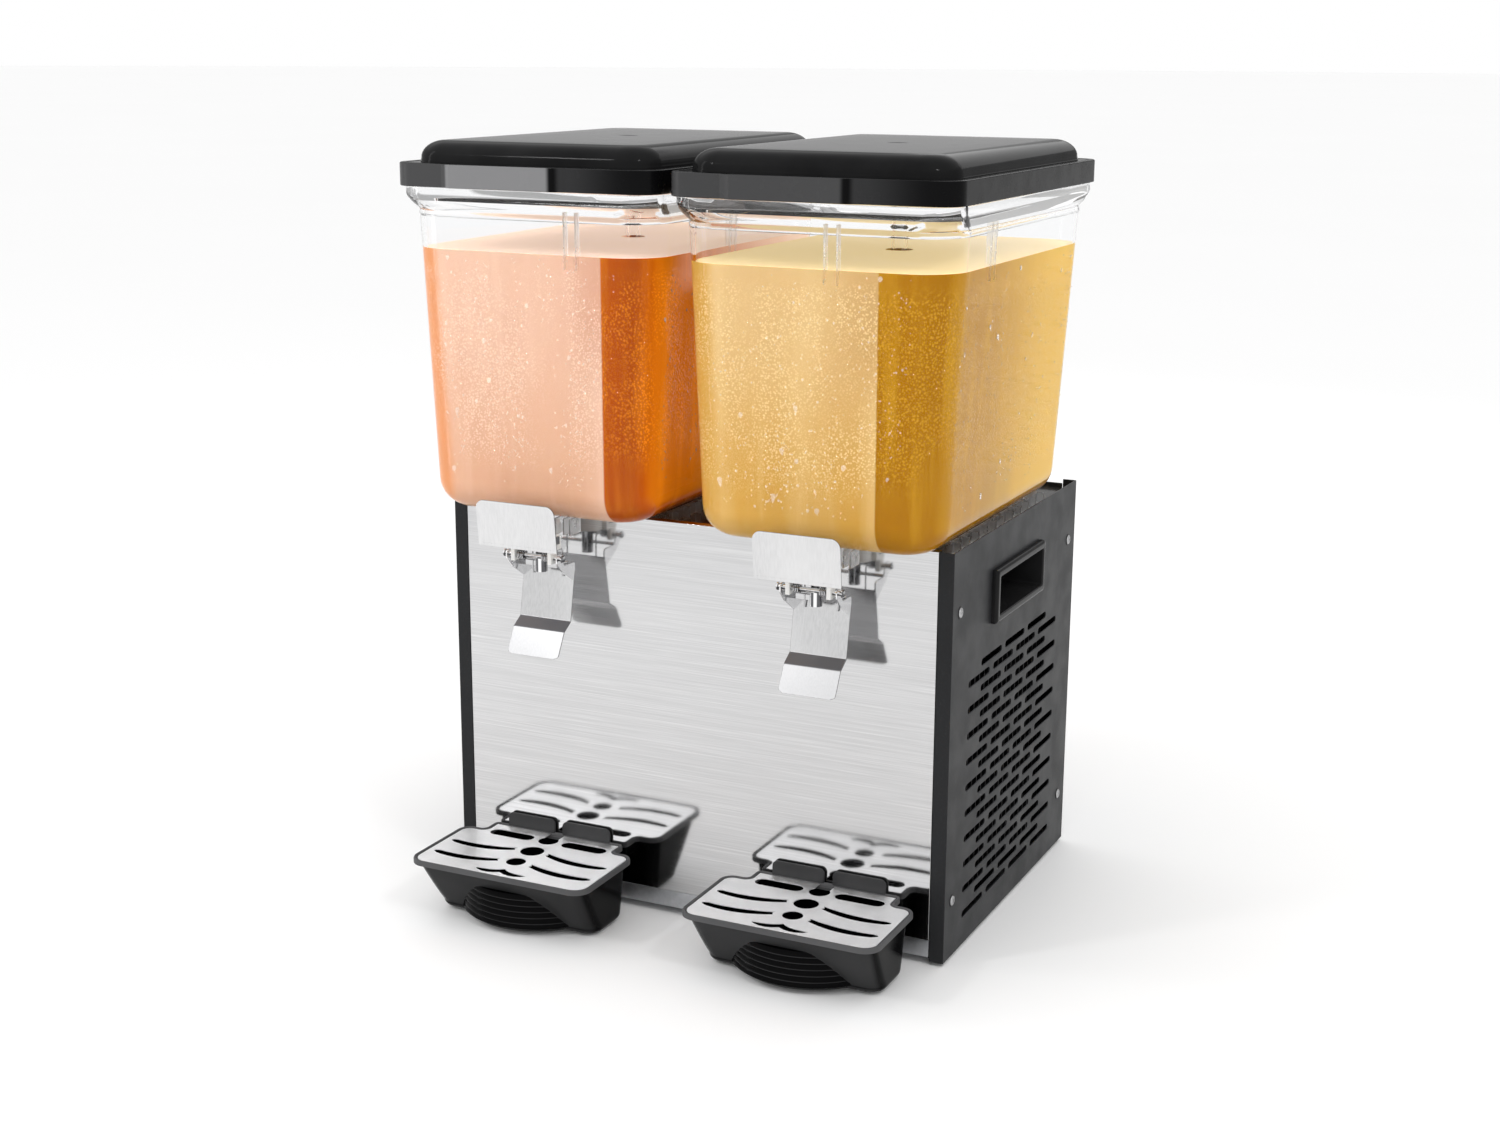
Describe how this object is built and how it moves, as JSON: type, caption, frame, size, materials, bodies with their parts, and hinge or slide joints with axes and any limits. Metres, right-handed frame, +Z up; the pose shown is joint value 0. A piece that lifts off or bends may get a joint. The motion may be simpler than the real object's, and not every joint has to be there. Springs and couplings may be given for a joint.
{
  "type": "twin tank cold drink dispenser",
  "caption": "Countertop refrigerated drink dispenser: clear lift-off tanks with lids, push-lever faucets and drip trays on a stainless-fronted cold base with vented sides.",
  "frame": {"origin": "centre of the overall box in plan, at the level that the feet stand on", "axes": "+X to the machine's right seen from the front, +Y to its back, +Z up"},
  "size_m": [0.51, 0.458, 0.679],
  "materials": {
    "galvanised": "satin galvanised sheet",
    "front_steel": "brushed stainless, horizontal grain",
    "powder_coat": "charcoal textured powder coat",
    "deck_black": "satin black",
    "polished_steel": "polished stainless",
    "black_plastic": "satin moulded plastic",
    "lid_black": "gloss black moulded plastic",
    "clear_plastic": "clear polycarbonate",
    "white_plastic": "natural white moulded plastic",
    "rubber": "matt",
    "silicone": "soft white silicone",
    "compressor_black": "gloss black enamel",
    "motor_grey": "satin grey",
    "fin_aluminium": "thin bright fins",
    "copper": "drawn copper tube",
    "foam": "rigid foam",
    "key_green": "translucent green key",
    "ferrite": "dark sintered magnet"
  },
  "bodies": {
    "cabinet": {"base_pan": "galvanised", "rubber_feet": "rubber", "front_panel": "front_steel", "left_side_panel": "powder_coat", "right_side_panel": "powder_coat", "rear_panel": "powder_coat", "top_deck": "deck_black", "side_panel_screws": "polished_steel", "rear_panel_screws": "polished_steel", "left_handle_cup": "black_plastic", "right_handle_cup": "black_plastic", "compressor": "compressor_black", "compressor_grommets": "rubber", "condenser": "fin_aluminium", "fan_shroud": "galvanised", "fan_motor": "motor_grey", "filter_drier": "copper", "refrigerant_pipes": "copper", "insulation_block": "foam", "control_box": "white_plastic", "power_inlet": "black_plastic", "switch_sockets": "black_plastic", "left_evaporator": "polished_steel", "right_evaporator": "polished_steel", "left_evaporator_gasket": "silicone", "right_evaporator_gasket": "silicone", "left_mixer_motor": "motor_grey", "right_mixer_motor": "motor_grey", "left_riser_tube": "clear_plastic", "right_riser_tube": "clear_plastic"},
    "fan": {"fan_blade": "black_plastic"},
    "cooling_key": {"cooling_switch": "key_green"},
    "mixing_key": {"mixing_switch": "key_green"},
    "thermostat": {"thermostat_knob": "black_plastic"},
    "left_drive": {"left_drive_magnet": "ferrite"},
    "left_pump": {"left_impeller": "white_plastic"},
    "left_tank_set": {"left_tank": "clear_plastic", "left_faucet_body": "white_plastic", "left_nozzle": "polished_steel", "left_lever_pin": "polished_steel", "left_lever_spring": "polished_steel", "left_cover_plate": "polished_steel"},
    "left_lid_set": {"left_lid": "lid_black"},
    "left_lever_set": {"left_lever": "polished_steel"},
    "left_plunger_set": {"left_plunger": "silicone"},
    "left_tray": {"left_drip_tray": "black_plastic"},
    "left_grille": {"left_tray_grille": "polished_steel"},
    "right_drive": {"right_drive_magnet": "ferrite"},
    "right_pump": {"right_impeller": "white_plastic"},
    "right_tank_set": {"right_tank": "clear_plastic", "right_faucet_body": "white_plastic", "right_nozzle": "polished_steel", "right_lever_pin": "polished_steel", "right_lever_spring": "polished_steel", "right_cover_plate": "polished_steel"},
    "right_lid_set": {"right_lid": "lid_black"},
    "right_lever_set": {"right_lever": "polished_steel"},
    "right_plunger_set": {"right_plunger": "silicone"},
    "right_tray": {"right_drip_tray": "black_plastic"},
    "right_grille": {"right_tray_grille": "polished_steel"}
  },
  "joints": [
    {"name": "fan_spin", "type": "hinge", "parent": "cabinet", "child": "fan", "pos_m": [0.15, 0.052, 0.128], "axis": [1, 0, 0], "continuous": true},
    {"name": "cooling_key_rock", "type": "hinge", "parent": "cabinet", "child": "cooling_key", "pos_m": [-0.19, 0.215, 0.253], "axis": [1, 0, 0], "range_deg": [-8, 8]},
    {"name": "mixing_key_rock", "type": "hinge", "parent": "cabinet", "child": "mixing_key", "pos_m": [-0.15, 0.215, 0.253], "axis": [1, 0, 0], "range_deg": [-8, 8]},
    {"name": "thermostat_turn", "type": "hinge", "parent": "cabinet", "child": "thermostat", "pos_m": [-0.11, 0.219, 0.253], "axis": [0, 1, 0], "range_deg": [0, 270]},
    {"name": "left_mixer_spin", "type": "hinge", "parent": "cabinet", "child": "left_drive", "pos_m": [-0.13, 0.027, 0.398], "axis": [0, 0, 1], "continuous": true},
    {"name": "left_pump_spin", "type": "hinge", "parent": "cabinet", "child": "left_pump", "pos_m": [-0.13, 0.027, 0.433], "axis": [0, 0, 1], "continuous": true},
    {"name": "left_tank_lift", "type": "slide", "parent": "cabinet", "child": "left_tank_set", "axis": [0, 0, 1], "range_m": [0, 0.1]},
    {"name": "left_lid_lift", "type": "slide", "parent": "left_tank_set", "child": "left_lid_set", "axis": [0, 0, 1], "range_m": [0, 0.12]},
    {"name": "left_lever_push", "type": "hinge", "parent": "left_tank_set", "child": "left_lever_set", "pos_m": [-0.125, -0.165, 0.331], "axis": [1, 0, 0], "range_deg": [0, 15], "stiffness_Nm_per_rad": 0.6, "springref_deg": -14.32},
    {"name": "left_plunger_lift", "type": "slide", "parent": "left_tank_set", "child": "left_plunger_set", "axis": [0, 0, 1], "range_m": [0, 0.0033]},
    {"name": "left_tray_pull", "type": "slide", "parent": "cabinet", "child": "left_tray", "axis": [0, -1, 0], "range_m": [0, 0.08]},
    {"name": "left_grille_lift", "type": "slide", "parent": "left_tray", "child": "left_grille", "axis": [0, 0, 1], "range_m": [0, 0.05]},
    {"name": "right_mixer_spin", "type": "hinge", "parent": "cabinet", "child": "right_drive", "pos_m": [0.13, 0.027, 0.398], "axis": [0, 0, 1], "continuous": true},
    {"name": "right_pump_spin", "type": "hinge", "parent": "cabinet", "child": "right_pump", "pos_m": [0.13, 0.027, 0.433], "axis": [0, 0, 1], "continuous": true},
    {"name": "right_tank_lift", "type": "slide", "parent": "cabinet", "child": "right_tank_set", "axis": [0, 0, 1], "range_m": [0, 0.1]},
    {"name": "right_lid_lift", "type": "slide", "parent": "right_tank_set", "child": "right_lid_set", "axis": [0, 0, 1], "range_m": [0, 0.12]},
    {"name": "right_lever_push", "type": "hinge", "parent": "right_tank_set", "child": "right_lever_set", "pos_m": [0.135, -0.165, 0.331], "axis": [1, 0, 0], "range_deg": [0, 15], "stiffness_Nm_per_rad": 0.6, "springref_deg": -14.32},
    {"name": "right_plunger_lift", "type": "slide", "parent": "right_tank_set", "child": "right_plunger_set", "axis": [0, 0, 1], "range_m": [0, 0.0033]},
    {"name": "right_tray_pull", "type": "slide", "parent": "cabinet", "child": "right_tray", "axis": [0, -1, 0], "range_m": [0, 0.08]},
    {"name": "right_grille_lift", "type": "slide", "parent": "right_tray", "child": "right_grille", "axis": [0, 0, 1], "range_m": [0, 0.05]}
  ],
  "couplings": [
    {"joint": "left_pump_spin", "follows": "left_mixer_spin", "ratio": 1},
    {"joint": "left_plunger_lift", "follows": "left_lever_push", "m_per_rad": 0.012},
    {"joint": "right_pump_spin", "follows": "right_mixer_spin", "ratio": 1},
    {"joint": "right_plunger_lift", "follows": "right_lever_push", "m_per_rad": 0.012}
  ]
}
